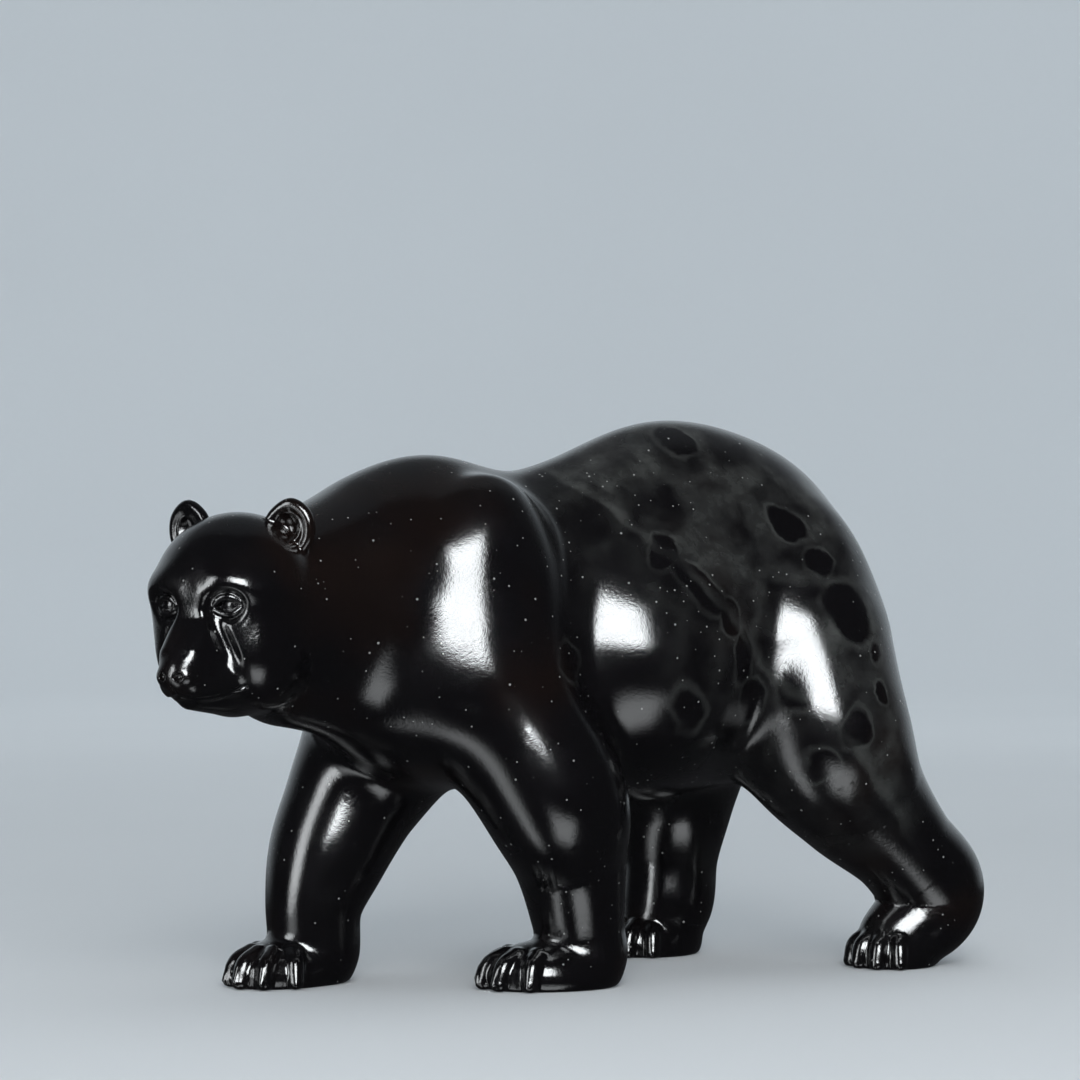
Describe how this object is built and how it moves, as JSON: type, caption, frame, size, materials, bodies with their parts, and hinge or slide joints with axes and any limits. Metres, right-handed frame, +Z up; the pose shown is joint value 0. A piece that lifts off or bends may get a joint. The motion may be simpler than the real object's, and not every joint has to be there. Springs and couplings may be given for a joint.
{
  "type": "bear figurine",
  "caption": "Walking bear figurine with its head turned to the side, one cast piece with a glossy black lacquered finish, standing on its flat soles.",
  "frame": {"origin": "on the floor, under the middle of the figure's box", "axes": "the bear walks towards -X, its left side is towards -Y, +Z up"},
  "size_m": [0.3098, 0.1334, 0.19],
  "materials": {
    "black_lacquer": "near-black cloudy patina under a thick high-gloss clear lacquer"
  },
  "bodies": {
    "root": {"bear": "black_lacquer"}
  },
  "joints": []
}
